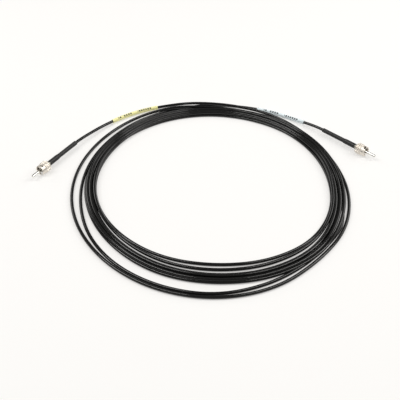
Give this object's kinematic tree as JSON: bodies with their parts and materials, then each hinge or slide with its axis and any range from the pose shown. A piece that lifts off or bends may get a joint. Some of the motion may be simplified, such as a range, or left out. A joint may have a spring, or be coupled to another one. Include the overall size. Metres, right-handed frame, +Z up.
{
  "type": "fibre optic cable",
  "caption": "Black simplex fibre optic patch cable in a loose flat coil, with a sprung metal bayonet connector, a slim boot and a marker sleeve at each end.",
  "frame": {"origin": "middle of the coil's outline with both connectors, on the surface that the cable lies on", "axes": "+X to the right connector, +Z up, the connectors at the sides with their tips to the front"},
  "size_m": [0.318, 0.262, 0.0102],
  "materials": {
    "jacket": "satin black jacket",
    "boot": "matt black",
    "nickel": "bright nickel plate",
    "spring_steel": "plain",
    "ferrule_steel": "polished",
    "buffer": "matt white",
    "yarn": "yellow yarn",
    "marker_yellow": "satin",
    "marker_blue": "satin"
  },
  "bodies": {
    "cable": {"ferrule_a": "ferrule_steel", "fibre_end_a": "buffer", "barrel_a": "nickel", "spring_a": "spring_steel", "retaining_ring_a": "spring_steel", "crimp_sleeve_a": "nickel", "strength_yarn_a": "yarn", "boot_a": "boot", "ferrule_b": "ferrule_steel", "fibre_end_b": "buffer", "barrel_b": "nickel", "spring_b": "spring_steel", "retaining_ring_b": "spring_steel", "crimp_sleeve_b": "nickel", "strength_yarn_b": "yarn", "boot_b": "boot", "cable_lead_a": "jacket", "cable_lead_b": "jacket", "cable_coil": "jacket", "marker_sleeve_a": "marker_yellow", "marker_sleeve_b": "marker_blue"},
    "washer_a": {"thrust_washer_a": "spring_steel"},
    "nut_a": {"bayonet_nut_a": "nickel"},
    "washer_b": {"thrust_washer_b": "spring_steel"},
    "nut_b": {"bayonet_nut_b": "nickel"}
  },
  "joints": [
    {"name": "nut_a_push", "type": "slide", "parent": "cable", "child": "washer_a", "axis": [-0.5225, -0.8526, 0], "range_m": [0, 0.0013], "stiffness_N_per_m": 2000, "springref_m": -0.001, "deforming": ["spring_a"]},
    {"name": "nut_a_turn", "type": "hinge", "parent": "washer_a", "child": "nut_a", "pos_m": [-0.15026, 0.01924, 0.0051], "axis": [-0.5225, -0.8526, 0], "continuous": true},
    {"name": "nut_b_push", "type": "slide", "parent": "cable", "child": "washer_b", "axis": [0.7071, -0.7071, 0], "range_m": [0, 0.0013], "stiffness_N_per_m": 2000, "springref_m": -0.001, "deforming": ["spring_b"]},
    {"name": "nut_b_turn", "type": "hinge", "parent": "washer_b", "child": "nut_b", "pos_m": [0.14774, 0.04696, 0.0051], "axis": [0.7071, -0.7071, 0], "continuous": true}
  ]
}
